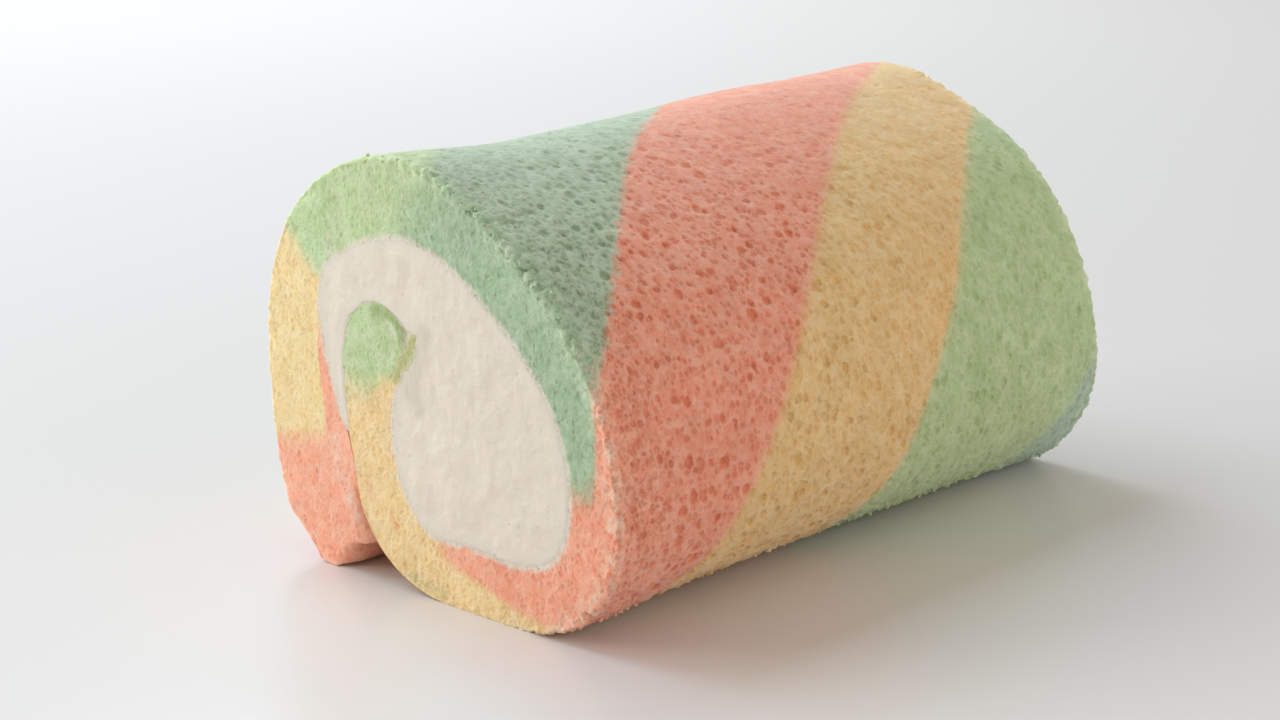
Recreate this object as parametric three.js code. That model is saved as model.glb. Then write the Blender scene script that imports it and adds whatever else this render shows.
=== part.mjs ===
import * as THREE from "three";

// Half of a swiss roll cake, cut square at both ends and lying on its seam.
// Units are millimetres. +Y runs along the roll, away from the cut face that shows
// its curl on the left; +X is to the right of that face and +Z is up.

// ---- sizes ----
const rollLength = 138.5;     // between the two cut faces
const rollHeight = 80;       // plate to crown, at the near cut face
const creamGap = 0.3;        // air line between the crumb and the filling
const edgeSoftening = 0.9;   // how far a cut edge is rubbed back
const edgeDepth = 1.6;       // how far along the roll the rubbing reaches
const creamRecess = 0.2;     // the filling stops this short of each cut face
const crownSag = 1.9;        // dip of the crown behind the near cut face
const farShoulder = 1.8;     // the far end is this much fuller high on the right
const farCorner = 1.4;       // and this much fuller low on the right
const nearCorner = 0.9;      // the low right corner is drawn in behind the near face
const skinWave = 0.4;        // height of the soft waves over the skin
const lipReach = 2.2;        // the curl's lip stands out this far to the right
const headRise = 6.6;        // the curl's round head above its last row
const toeReach = 3.4;        // the toe of the foot runs out to the roll by this much
const footCorner = new THREE.Vector2(-39.25, 1.5);  // the foot's outer corner in section,
const cornerShift = new THREE.Vector2(3.6, 0.8);    // drawn in by this much
const cornerReach = 6;                              // over this distance round it
const stations = 26;         // cross sections along the roll

// The baked sheet, rolled clockwise as seen on the near cut face. Each row is a place
// on the middle of the sheet with the sheet's thickness there: [x, z, thickness].
const foot = [
  [-29.4, 0.0, 7.4],
  [-31.4, 4.7, 17.4],
  [-32.0, 10.8, 22.7],
  [-33.6, 17.7, 22.4],
  [-35.4, 25.8, 21.7],
];
const leftWall = [
  [-36.8, 34.8, 19.9],
  [-37.4, 44.1, 17.0],
  [-36.4, 53.5, 14.2],
  [-31.8, 62.3, 13.1],
];
const crown = [
  [-23.9, 68.1, 14.6],
  [-14.5, 71.7, 15.1],
  [-4.5, 72.4, 14.7],
  [6.2, 69.2, 13.3],
];
const rightWall = [
  [17.6, 62.6, 13.3],
  [28.0, 54.0, 13.3],
  [35.5, 44.4, 12.7],
  [39.2, 33.7, 12.1],
  [39.9, 23.6, 12.5],
  [37.4, 14.9, 12.4],
];
const base = [
  [31.1, 8.6, 12.1],
  [21.2, 5.9, 12.2],
  [9.1, 6.2, 12.9],
  [-2.2, 6.5, 12.0],
];
const tongue = [
  [-9.6, 10.2, 13.4],
  [-14.1, 15.9, 13.6],
  [-15.9, 22.7, 12.4],
  [-17.0, 29.8, 13.2],
  [-16.9, 36.6, 14.8],
  [-15.7, 42.4, 16.6],
  [-13.8, 46.6, 18.2],
];
const rows = [...foot, ...leftWall, ...crown, ...rightWall, ...base, ...tongue];
const spine = new THREE.CatmullRomCurve3(
  rows.map(([x, z, thick]) => new THREE.Vector3(x, z, thick)),
  false,
  "catmullrom",
  0.5,
);

// places on the sheet, as a share of the way from the foot to the curl
const share = (row) => row / (rows.length - 1);
const wedgeStart = share(4.3);                  // the wall stands clear of the tongue
const tongueClear = share(rows.length - 4.4);   // the same height on the tongue
const lipPlace = share(rows.length - 1.1);
const toePlace = share(1.3);
const skinFrom = share(2.5);
const skinTo = share(18.5);

const bell = (v, middle, width) => Math.exp(-(((v - middle) / width) ** 2));

function ease(v, from, to) {
  const k = Math.min(1, Math.max(0, (v - from) / (to - from)));
  return k * k * (3 - 2 * k);
}

// Soft unevenness of the skin, still at the foot and under the base.
function wave(v, y) {
  const free = ease(v, skinFrom, skinFrom + 0.08) * (1 - ease(v, skinTo - 0.08, skinTo));
  const roll = Math.sin(v * 31 + y * 0.055) + 0.7 * Math.sin(v * 17 - y * 0.083 + 1.9);
  return skinWave * free * roll * 0.6;
}

// How far the skin is drawn in at y, so that the cut edges are rubbed round.
function rubbed(v, y) {
  const near = Math.min(y, rollLength - y);
  const k = Math.max(0, 1 - near / edgeDepth);
  const worn = 1 - Math.sqrt(Math.max(0, 1 - k * k));
  return edgeSoftening * worn * (1 - ease(v, skinTo, skinTo + 0.12));
}

// A point of the section. side is +1 on the outside of the sheet, -1 on the inside,
// and grow pushes the point away from the sheet.
function sheetPoint(v, side, grow, y) {
  const p = spine.getPoint(v);
  const t = spine.getTangent(v);
  const n = Math.hypot(t.x, t.y);
  const tips = lipReach * bell(v, lipPlace, 0.018) + toeReach * bell(v, toePlace, 0.012);
  const reach = p.z / 2 + grow + (side > 0 ? wave(v, y) - rubbed(v, y) : tips);
  return new THREE.Vector2(p.x - (side * reach * t.y) / n, p.y + (side * reach * t.x) / n);
}

// Places along one side of the sheet, spread evenly over its length.
function evenPlaces(side, count) {
  const fine = 900;
  const run = [0];
  for (let i = 1; i <= fine; i += 1) {
    const step = sheetPoint(i / fine, side, 0, 0).distanceTo(sheetPoint((i - 1) / fine, side, 0, 0));
    run.push(run[i - 1] + step);
  }
  const places = [];
  for (let i = 0, j = 0; i <= count; i += 1) {
    const want = (run[fine] * i) / count;
    while (j < fine - 1 && run[j + 1] < want) j += 1;
    places.push((j + (want - run[j]) / (run[j + 1] - run[j])) / fine);
  }
  return places;
}
const outsidePlaces = evenPlaces(1, 86);
const insidePlaces = evenPlaces(-1, 66);

// The round head of the curl, from the outside of the sheet over to the inside.
function curlHead(count, grow, y) {
  const a = sheetPoint(1, 1, grow, y);
  const b = sheetPoint(1, -1, grow, y);
  const t = spine.getTangent(1);
  const n = Math.hypot(t.x, t.y);
  const head = [];
  for (let i = 1; i < count; i += 1) {
    const turn = (Math.PI * i) / count;
    const along = (1 - Math.cos(turn)) / 2;
    const up = ((headRise + grow) * Math.sin(turn)) / n;
    head.push(new THREE.Vector2(
      a.x + (b.x - a.x) * along + up * t.x,
      a.y + (b.y - a.y) * along + up * t.y,
    ));
  }
  return head;
}

function sheetOutline(y) {
  const outside = outsidePlaces.map((v) => sheetPoint(v, 1, 0, y));
  const inside = insidePlaces.map((v) => sheetPoint(v, -1, 0, y)).reverse();
  return [...outside, ...curlHead(9, 0, y), ...inside];
}

// The filling follows the sheet all round, from where the wall stands clear of the
// tongue, over the crown and the base, up the tongue and over the curl.
function creamOutline(y) {
  const clear = outsidePlaces.filter((v) => v >= tongueClear);
  const tongueSide = clear.map((v) => sheetPoint(v, 1, creamGap, y));
  const wide = insidePlaces.filter((v) => v >= wedgeStart);
  const hollow = wide.map((v) => sheetPoint(v, -1, creamGap, y));
  return [...hollow, ...curlHead(9, creamGap, y).reverse(), ...tongueSide.reverse()];
}

// The roll is not the same all the way along: its crown sags behind the near face,
// and the far end is squarer on the right. The foot's outer corner is drawn in.
function settle(q, y) {
  const t = y / rollLength;
  const mid = ease(t, 0, 0.24) * (1 - ease(t, 0.46, 0.74));
  const sag = crownSag * mid * Math.max(0, q.y / rollHeight) ** 2;
  const centre = 36;
  const turn = (Math.atan2(q.y - centre, q.x) * 180) / Math.PI;
  const corner = farCorner * ease(t, 0.75, 1) - nearCorner * mid;
  const push = farShoulder * ease(t, 0.7, 1) * bell(turn, 44, 22) + corner * bell(turn, -50, 16);
  const away = Math.hypot(q.x, q.y - centre) || 1;
  const x = q.x * (1 + push / away);
  const z = Math.max(0, q.y + (push * (q.y - centre)) / away - sag);
  const fromCorner = Math.hypot(x - footCorner.x, z - footCorner.y);
  const near = bell(fromCorner, 0, cornerReach);
  return new THREE.Vector3(x + near * cornerShift.x, y, z + near * cornerShift.y);
}

function stationPlaces(start, end) {
  const places = [start, start + edgeDepth * 0.25, start + edgeDepth];
  for (let i = 1; i < stations - 5; i += 1) {
    places.push(start + edgeDepth + ((end - start - 2 * edgeDepth) * i) / (stations - 5));
  }
  places.push(end - edgeDepth, end - edgeDepth * 0.25, end);
  return places;
}

// A closed body through one outline per station, with flat cut faces.
function loft(name, colour, outlineAt, start, end) {
  const places = stationPlaces(start, end);
  const rings = places.map((y) => outlineAt(y).map((q) => settle(q, y)));
  const around = rings[0].length;
  const at = (ring, i) => ring * around + (i % around);
  const position = rings.flat().flatMap((q) => [q.x, q.y, q.z]);
  const index = [];
  for (let r = 0; r + 1 < rings.length; r += 1) {
    for (let i = 0; i < around; i += 1) {
      index.push(at(r, i), at(r, i + 1), at(r + 1, i + 1));
      index.push(at(r, i), at(r + 1, i + 1), at(r + 1, i));
    }
  }
  [[0, false], [rings.length - 1, true]].forEach(([r, far]) => {
    const flat = rings[r].map((q) => new THREE.Vector2(q.x, q.z));
    THREE.ShapeUtils.triangulateShape(flat, []).forEach(([a, b, c]) => {
      index.push(at(r, a), ...(far ? [at(r, c), at(r, b)] : [at(r, b), at(r, c)]));
    });
  });
  const geometry = new THREE.BufferGeometry();
  geometry.setAttribute("position", new THREE.Float32BufferAttribute(position, 3));
  geometry.setIndex(index);
  geometry.computeVertexNormals();
  const skin = new THREE.MeshStandardMaterial({ color: colour, roughness: 0.9 });
  const mesh = new THREE.Mesh(geometry, skin);
  mesh.name = name;
  return mesh;
}

const roll = new THREE.Group();
roll.name = "swiss_roll_cake";
roll.add(loft("sponge", 0xc8a084, sheetOutline, 0, rollLength));
roll.add(loft("cream", 0xe4dccb, creamOutline, creamRecess, rollLength - creamRecess));

// the origin is under the middle of the roll
roll.position.y = -rollLength / 2;
const extent = new THREE.Box3().setFromObject(roll);
roll.position.x = -(extent.min.x + extent.max.x) / 2;

export default roll;
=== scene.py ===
"""Half of a pastel striped swiss roll cake, cut square at both ends, lying on its seam."""

import math

import bmesh
import bpy
import numpy as np
from mathutils import Matrix, Vector
from mathutils.geometry import delaunay_2d_cdt


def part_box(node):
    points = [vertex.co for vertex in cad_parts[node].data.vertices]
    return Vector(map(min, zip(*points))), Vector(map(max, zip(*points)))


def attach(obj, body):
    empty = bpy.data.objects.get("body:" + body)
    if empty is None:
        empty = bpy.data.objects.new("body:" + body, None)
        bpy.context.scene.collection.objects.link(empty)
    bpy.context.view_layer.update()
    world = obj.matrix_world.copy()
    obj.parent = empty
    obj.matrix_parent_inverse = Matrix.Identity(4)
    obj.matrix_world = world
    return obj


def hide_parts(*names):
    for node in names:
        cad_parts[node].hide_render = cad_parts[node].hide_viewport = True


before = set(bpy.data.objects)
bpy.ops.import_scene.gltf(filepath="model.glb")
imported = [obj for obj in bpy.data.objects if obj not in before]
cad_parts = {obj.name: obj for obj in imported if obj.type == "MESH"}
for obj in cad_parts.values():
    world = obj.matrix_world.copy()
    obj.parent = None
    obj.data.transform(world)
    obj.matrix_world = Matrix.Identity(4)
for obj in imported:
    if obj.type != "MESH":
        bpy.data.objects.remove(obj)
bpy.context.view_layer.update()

# ---- sizes, in millimetres unless a name or comment says otherwise ----
# x and z are as in the frame but for a shift in x that settle() adds. y runs along the roll
# from the near cut. v is a place on the sheet, as a share of the way from foot to curl.
MM = 0.001
LOW, HIGH = (np.array(corner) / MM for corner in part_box("sponge"))
ROLL_LENGTH = HIGH[1] - LOW[1]
ROLL_HEIGHT = 80.0  # plate to crown, at the near cut face
SECTION_LEFT = -46.57  # the section's leftmost point, before the part is centred
SECTION_MIDDLE = 36  # height that the section swells or shrinks about
EDGE_SOFTENING = 0.45  # how far a cut edge is rubbed back
EDGE_DEPTH = 0.9  # how far along the roll the rubbing reaches
CROWN_SAG = 1.9  # dip of the crown behind the near cut face
FAR_SHOULDER = 1.8  # the far end is this much fuller high on the right
FAR_CORNER = 1.4  # and this much fuller low on the right
NEAR_CORNER = 0.9  # the low right corner is drawn in behind the near face
SHOULDER_AT = (44, 22)  # direction from the section's middle and half width, in degrees
CORNER_AT = (-50, 16)  # the same for the low right corner
SHOULDER_FROM, CORNER_FROM = 0.7, 0.75  # shares of the length where they start to be fuller
SAGGING = (0, 0.24, 0.46, 0.74)  # shares where the sag starts, is whole, fades and ends
TINY = 1e-6
LIP_REACH = 2.2  # the curl's lip stands out this far to the right
HEAD_RISE = 6.6  # the curl's round head above its last row
TOE_REACH = 3.4  # the toe of the foot runs out to the roll by this much

# The baked sheet, rolled clockwise as seen on the near cut face. Each row is a place
# on the middle of the sheet with the sheet's thickness there: [x, z, thickness].
ROWS = np.array([
    # foot
    [-29.4, 0.0, 7.4],
    [-31.4, 4.7, 17.4],
    [-32.0, 10.8, 22.7],
    [-33.6, 17.7, 22.4],
    [-35.4, 25.8, 21.7],
    # left wall
    [-36.8, 34.8, 19.9],
    [-37.4, 44.1, 17.0],
    [-36.4, 53.5, 14.2],
    [-31.8, 62.3, 13.1],
    # crown
    [-23.9, 68.1, 14.6],
    [-14.5, 71.7, 15.1],
    [-4.5, 72.4, 14.7],
    [6.2, 69.2, 13.3],
    # right wall
    [17.6, 62.6, 13.3],
    [28.0, 54.0, 13.3],
    [35.5, 44.4, 12.7],
    [39.2, 33.7, 12.1],
    [39.9, 23.6, 12.5],
    [37.4, 14.9, 12.4],
    # base
    [31.1, 8.6, 12.1],
    [21.2, 5.9, 12.2],
    [9.1, 6.2, 12.9],
    [-2.2, 6.5, 12.0],
    # tongue, up to the curl
    [-9.6, 10.2, 13.4],
    [-14.1, 15.9, 13.6],
    [-15.9, 22.7, 12.4],
    [-17.0, 29.8, 13.2],
    [-16.9, 36.6, 14.8],
    [-15.7, 42.4, 16.6],
    [-13.8, 46.6, 18.2],
])
LAST_ROW = len(ROWS) - 1

# places and widths on the sheet, as shares of the way from foot to curl
WEDGE_START = 4.3 / LAST_ROW  # the wall stands clear of the tongue
TONGUE_CLEAR = (len(ROWS) - 4.4) / LAST_ROW  # the same height on the tongue
LIP_PLACE, LIP_WIDTH = (len(ROWS) - 1.1) / LAST_ROW, 0.018
TOE_PLACE, TOE_WIDTH = 1.3 / LAST_ROW, 0.012
SKIN_FROM = 2.5 / LAST_ROW  # the skin that is free of the plate
SKIN_TO = 18.5 / LAST_ROW
WAVES_FADE = 0.08  # inside of that the waves come and go over this much
RUBBING_FADES = 0.12  # and the rubbing goes over this much past it

# High on the right the cut edges are worn more: where, over which half width, and how much
# further they are drawn in, and further along the roll.
WORN_PLACE = 13.8 / LAST_ROW
WORN_WIDTH = 1.4 / LAST_ROW
WORN_AWAY = 0.9
WORN_DEPTH = 1.9

# Soft waves over the skin: radians over the whole sheet and for each millimetre of the roll,
# start in radians, and height against the first.
WAVES = ((31, 0.055, 0, 1.0), (17, -0.083, 1.9, 0.7))
WAVE_HEIGHT = 0.4
WAVE_SHARE = 0.6  # of the waves' sum, which is then about 1 at most
SECTION_POINTS = {1: 86, -1: 66}  # points that the section's curves go through, by side
SIDE_SAMPLES, RUN_SAMPLES, GRADE_SAMPLES, EDGE_SAMPLES = 901, 4001, 4000, 200


def bell(v, middle, width):
    return np.exp(-(((v - middle) / width) ** 2))


def ease(v, start, end):
    k = np.clip((v - start) / (end - start), 0, 1)
    return k * k * (3 - 2 * k)


def between(v, start, whole, fading, end):
    """1 from whole to fading, and 0 up to start and past end."""
    return ease(v, start, whole) * (1 - ease(v, fading, end))


def through(knots, at):
    """Uniform Catmull-Rom curve through knots, and its slope, at shares of the way."""
    last = len(knots) - 1
    run = np.clip(at, 0, 1) * last
    i = np.minimum(run.astype(int), last - 1)
    k = (run - i)[:, None]
    ends = (2 * knots[0] - knots[1], 2 * knots[-1] - knots[-2])
    held = np.vstack([ends[0], knots, ends[1]])
    p0, p1, p2, p3 = (held[i + j] for j in range(4))
    out, back = (p2 - p0) / 2, (p3 - p1) / 2
    c2 = 3 * (p2 - p1) - 2 * out - back
    c3 = 2 * (p1 - p2) + out + back
    return p1 + k * (out + k * (c2 + k * c3)), out + k * (2 * c2 + 3 * k * c3)


def spine(v):
    """Middle of the sheet, its thickness and its unit direction at shares v of its length."""
    point, slope = through(ROWS, v)
    way = slope[:, :2] / np.linalg.norm(slope[:, :2], axis=1)[:, None]
    return point[:, :2], point[:, 2], way


def wave(v, y):
    """Soft unevenness of the skin, still at the foot and under the base."""
    free = between(v, SKIN_FROM, SKIN_FROM + WAVES_FADE, SKIN_TO - WAVES_FADE, SKIN_TO)
    roll = sum(share * np.sin(v * round_it + y * on + start) for round_it, on, start, share in WAVES)
    return WAVE_HEIGHT * free * roll * WAVE_SHARE


def rubbed(v, y):
    """How far the skin is drawn in at y, so that the cut edges are rubbed round."""
    near = np.minimum(y, ROLL_LENGTH - y)
    worn = bell(v, WORN_PLACE, WORN_WIDTH)
    k = np.clip(1 - near / (EDGE_DEPTH + WORN_DEPTH * worn), 0, 1)
    drawn_in = (EDGE_SOFTENING + WORN_AWAY * worn) * (1 - np.sqrt(1 - k * k))
    return drawn_in * (1 - ease(v, SKIN_TO, SKIN_TO + RUBBING_FADES))


def sheet_side(v, side, grow, y):
    """(x, z) on the skin, side +1, or the cream's side, -1: a row per v, a column per y.
    grow pushes it away from the sheet."""
    middle, thick, way = spine(v)
    reach = (thick / 2 + grow)[:, None] + np.zeros((1, len(y)))
    if side > 0:
        reach = reach + wave(v[:, None], y[None]) - rubbed(v[:, None], y[None])
    else:
        lip = LIP_REACH * bell(v, LIP_PLACE, LIP_WIDTH)
        toe = TOE_REACH * bell(v, TOE_PLACE, TOE_WIDTH)
        reach = reach + (lip + toe)[:, None]
    across = np.stack([-way[:, 1], way[:, 0]], 1)
    return middle[:, None] + side * reach[..., None] * across[:, None]


def distances(line):
    """How far along a line of points each of them is."""
    return np.concatenate([[0], np.cumsum(np.linalg.norm(np.diff(line, axis=0), axis=1))])


def even_places(side):
    """Shares v of the points that one side's curve goes through, evenly spread over it."""
    v = np.linspace(0, 1, SIDE_SAMPLES)
    run = distances(sheet_side(v, side, 0, np.zeros(1))[:, 0])
    return np.interp(np.linspace(0, run[-1], SECTION_POINTS[side] + 1), run, v)


def side_line(v, side, grow, y):
    """As sheet_side, along the soft curve through the section's points."""
    places = even_places(side)
    points = sheet_side(places, side, np.interp(places, v, grow + 0 * v), y)
    at = np.interp(v, places, np.linspace(0, 1, len(places)))
    return through(points.reshape(len(places), -1), at)[0].reshape(len(v), len(y), 2)


def head_side(turn, grow, y):
    """(x, z) on the round head of the curl, at turns of 0 on the skin to pi on the inside."""
    end = np.ones(1)
    a = sheet_side(end, 1, grow, y)
    b = sheet_side(end, -1, grow, y)
    way = spine(end)[2][0]
    along = ((1 - np.cos(turn)) / 2)[:, None, None]
    up = ((HEAD_RISE + np.mean(grow)) * np.sin(turn))[:, None, None]
    return a + (b - a) * along + up * way


# where the curl's tip and the foot are pushed out or in: place, push and reach
PUSHES = [
    ((-5.0, 41.8), (-2.6, 0.2), 2.3),
    ((-4.6, 48.0), (1.4, 1.8), 1.9),
    ((-20.8, 51.8), (0.5, -1.1), 4.0),
    ((-24.5, 3.5), (0.8, -1.7), 2.6),
    ((-20.5, 5.6), (0.3, -1.0), 2.4),
    ((-39.5, 1.5), (3.6, 0.8), 6.0),
]


def settle(x, z, y):
    """Lets the crown sag behind the near face, makes the far end squarer on the right, and
    sets the section where the frame has it."""
    t = y / ROLL_LENGTH
    mid = between(t, *SAGGING)
    sag = CROWN_SAG * mid * np.maximum(0, z / ROLL_HEIGHT) ** 2
    turn = np.degrees(np.arctan2(z - SECTION_MIDDLE, x))
    shoulder = FAR_SHOULDER * ease(t, SHOULDER_FROM, 1)
    corner = FAR_CORNER * ease(t, CORNER_FROM, 1) - NEAR_CORNER * mid
    push = shoulder * bell(turn, *SHOULDER_AT) + corner * bell(turn, *CORNER_AT)
    away = np.maximum(TINY, np.hypot(x, z - SECTION_MIDDLE))
    z = np.maximum(0, z + push * (z - SECTION_MIDDLE) / away - sag)
    x = x * (1 + push / away) + LOW[0] - SECTION_LEFT
    pushed = np.zeros((2, *x.shape))
    for (px, pz), (dx, dz), reach in PUSHES:
        near = np.exp(-((x - px) ** 2 + (z - pz) ** 2) / reach**2)
        pushed += near * np.array([dx, dz]).reshape(2, *[1] * x.ndim)
    return np.stack([x + pushed[0], y + LOW[1], z + pushed[1]], -1)


# ---- meshes ----
FINE_STEP = 0.50  # columns of the skin that shows best
PLAIN_STEP = 0.95  # columns of the rest
FINE_COLUMNS = (112, 118, 330, 336)  # where along the sheet they turn fine, and plain again
EDGE_STEP = 0.28  # rows next to a cut face
ROW_STEP = 0.52  # rows away from it
EDGE_ROWS = 4  # how far from a cut face the rows have widened
DEPTH_ROWS = 26  # rows through the sheet on a cut face, if even
DEPTH_STEPS = (1.3, 0.5)  # their steps inside it and at its sides, against even ones
DEPTH_EDGE = 0.2  # the share of the thickness over which they widen
HIDDEN_ROWS = 14  # rows along the side spread with cream
HIDDEN_EDGE = (2, 20)  # their steps at a cut, and how far from it they have widened
HEAD_COLUMNS = 12
SLIT_CLOSING = 0.9  # the foot leans this far onto the tongue
LEAN_FROM, LEAN_WHOLE = 0.6 / LAST_ROW, 1.6 / LAST_ROW
LEAN_FADES = 0.03
FOOT_ROUNDING = 4.0  # how far the foot's lower edge is rubbed round at the near cut
FOOT_ROUNDED = (15, 24)  # that ends between these distances along the sheet
FOOT_ROUNDING_DEPTH = 14  # and here along the roll
SPONGE_FACES = 190000
SMOOTH_UP_TO = 55  # degrees between two faces that are still shaded smooth


def spaced(density, at, values):
    """The values at places so many to a millimetre of at, with both ends."""
    run = np.concatenate([[0], np.cumsum((density[1:] + density[:-1]) / 2 * np.diff(at))])
    count = int(round(run[-1]))
    return np.interp(np.linspace(0, run[-1], count + 1), run, values)


def graded(length, step, edge_step, edge):
    """Places from 0 to length, closer together within edge of both ends."""
    fine = np.linspace(0, length, GRADE_SAMPLES)
    near = np.minimum(fine, length - fine)
    return spaced(1 / (edge_step + (step - edge_step) * ease(near, 0, edge)), fine, fine)


# shares v in small steps, and the distance along the skin to each
SHARES = np.linspace(0, 1, RUN_SAMPLES)
RUNS = distances(sheet_side(SHARES, 1, 0, np.array([EDGE_DEPTH]))[:, 0])


def run_to(v):
    """Distance along the skin, from the foot, to share v."""
    return np.interp(v, SHARES, RUNS)


def column_places():
    """Shares v of the sheet's columns, closer together where the skin shows best."""
    fine = between(RUNS, *FINE_COLUMNS)
    return spaced(1 / (PLAIN_STEP + (FINE_STEP - PLAIN_STEP) * fine), RUNS, SHARES)


def wound_grid():
    """The sheet as a tube of rings, each along the skin, down the far cut, back along the
    cream's side and up the near cut. Returns points (column, ring, 3) and their distances
    along the sheet and along the roll and depth below the skin as a share."""
    v = column_places()
    y_skin = graded(ROLL_LENGTH, ROW_STEP, EDGE_STEP, EDGE_ROWS)
    y_back = graded(ROLL_LENGTH, ROLL_LENGTH / HIDDEN_ROWS, *HIDDEN_EDGE)[::-1]
    down = graded(1, *(step / DEPTH_ROWS for step in DEPTH_STEPS), DEPTH_EDGE)[1:-1]
    near, far = 0 * down, 0 * down + ROLL_LENGTH
    y = np.concatenate([y_skin, far, y_back, near])
    depth = np.concatenate([0 * y_skin, down, 0 * y_back + 1, down[::-1]])
    turn = np.linspace(0, math.pi / 2, HEAD_COLUMNS + 1)[1:-1]
    foot = 1 - ease(v, WEDGE_START, WEDGE_START + LEAN_FADES)
    lean = SLIT_CLOSING * foot * ease(v, LEAN_FROM, LEAN_WHOLE)
    outer = np.concatenate([side_line(v, 1, 0, y), head_side(turn, 0, y)])
    inner = np.concatenate([side_line(v, -1, lean, y), head_side(math.pi - turn, 0, y)])
    flat = outer + (inner - outer) * depth[None, :, None]
    head_run = RUNS[-1] + HEAD_RISE * np.sin(turn)
    along = np.concatenate([run_to(v), head_run])
    to_under = np.linalg.norm(inner - flat, axis=-1)
    k = np.clip(1 - to_under / FOOT_ROUNDING, 0, 1) * (1 - ease(along, *FOOT_ROUNDED))[:, None]
    here = np.clip(1 - y / FOOT_ROUNDING_DEPTH, 0, 1)
    drawn_back = FOOT_ROUNDING * (1 - np.sqrt(1 - k * k)) * here
    rings = settle(flat[..., 0], flat[..., 1], y[None] + drawn_back)
    whole = np.zeros(rings.shape[:2])
    return rings, along[:, None] + whole, y[None] + whole, depth[None] + whole


def tube_faces(columns, ring):
    """Quads between the columns of a tube, and its two end faces."""
    a = np.arange(columns - 1)[:, None] * ring + np.arange(ring)
    b = np.arange(columns - 1)[:, None] * ring + (np.arange(ring) + 1) % ring
    quads = np.stack([a, a + ring, b + ring, b], -1).reshape(-1, 4)
    last = (columns - 1) * ring
    return quads.tolist() + [list(range(ring)), list(range(last, last + ring))[::-1]]


def new_piece(name, points, faces, **fields):
    """A mesh object in the frame, from points in millimetres, with one attribute a field."""
    mesh = bpy.data.meshes.new(name)
    mesh.from_pydata(np.asarray(points) * MM, [], faces)
    for field, values in fields.items():
        kind, key = ("FLOAT_VECTOR", "vector") if np.ndim(values) == 2 else ("FLOAT", "value")
        held = mesh.attributes.new(field, kind, "POINT")
        held.data.foreach_set(key, np.asarray(values, np.float32).ravel())
    piece = bpy.data.objects.new(name, mesh)
    bpy.context.scene.collection.objects.link(piece)
    return piece


def take_shape(piece):
    """Makes what the modifiers show the piece's own mesh, shaded smooth but for creases."""
    graph = bpy.context.evaluated_depsgraph_get()
    shown = piece.evaluated_get(graph)
    made = bpy.data.meshes.new_from_object(shown, preserve_all_data_layers=True, depsgraph=graph)
    piece.modifiers.clear()
    piece.data = made
    made.shade_smooth()
    made.set_sharp_from_angle(angle=math.radians(SMOOTH_UP_TO))


def read(data, key, width=1):
    """The values of a mesh's data, each of width numbers, one after the other."""
    values = np.empty(width * len(data))
    data.foreach_get(key, values)
    return values


def rest_on_plate(piece):
    """Lifts what dips below the plate."""
    places = read(piece.data.vertices, "co", 3)
    places[2::3] = np.maximum(places[2::3], 0)
    piece.data.vertices.foreach_set("co", places)
    piece.data.update()


# ---- stripes ----
# Where one colour gives way to the next on the skin: knots of [distance along the roll,
# distance along the sheet from the foot]; then how much further along the sheet it lies on
# the cream's side, with the depths between which it slants, as shares of the thickness;
# and half the width of its soft edge.
EDGES = [
    ([[0, 29], [70, -41], [138.5, -106]], (26, 0.66, 0.95), 0.9),
    ([[0, 72], [45, 32], [90, -6], [138.5, -46]], (-3, 0, 1), 1.0),
    ([[0, 118.5], [20, 100], [70, 56], [138.5, 0]], (-8, 0, 1), 2.4),
    ([[0, 170], [24, 142.7], [48, 120.4], [72, 104.2], [105, 77.6], [138.5, 48.4]],
     (21, -0.1, 0.6), 0.8),
    ([[0, 223.5], [18, 214], [36, 189.2], [54, 167.1], [72, 150], [90, 135.6], [108, 123.6],
      [124, 115], [138.5, 106.5]], (29, 0, 0.8), 0.8),
    ([[0, 302.5], [24, 272], [48, 241], [70, 210], [84, 187], [97, 170], [110, 155],
      [124, 142.5], [138.5, 132.3]], (8, 0.45, 0.95), 1.0),
    ([[0, 372], [60, 296], [100, 243], [126, 208.5], [138.5, 190]], (0, 0, 1), 1.2),
    ([[0, 430], [60, 350], [138.5, 247]], (20, 0, 1), 1.0),
    ([[0, 490], [60, 405], [138.5, 300]], (20, 0, 1), 1.0),
]
STRIPES = ["pink", "yellow", "green", "mint"]
STRIPE_WIDTH, LEAST_WIDTH = 40, 5  # of a usual stripe and the narrowest, along the sheet


def bands(along, y, depth):
    """How many stripes lie between the foot and a point of the sheet, with fractions."""
    places = []
    for knots, (slant, start, end), _soft in EDGES:
        line = through(np.array(knots, float), np.linspace(0, 1, EDGE_SAMPLES))[0]
        further = slant * (ease(depth, start, end) - ease(0, start, end))
        places.append(np.interp(y, line[:, 0], line[:, 1]) + further)
    places = np.array([places[0] - STRIPE_WIDTH, *places, places[-1] + STRIPE_WIDTH])
    count = np.zeros_like(along)
    for i in range(len(places) - 1):
        share = (along - places[i]) / np.maximum(LEAST_WIDTH, places[i + 1] - places[i])
        count += np.clip(share, 0, 1)
    return count


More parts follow.
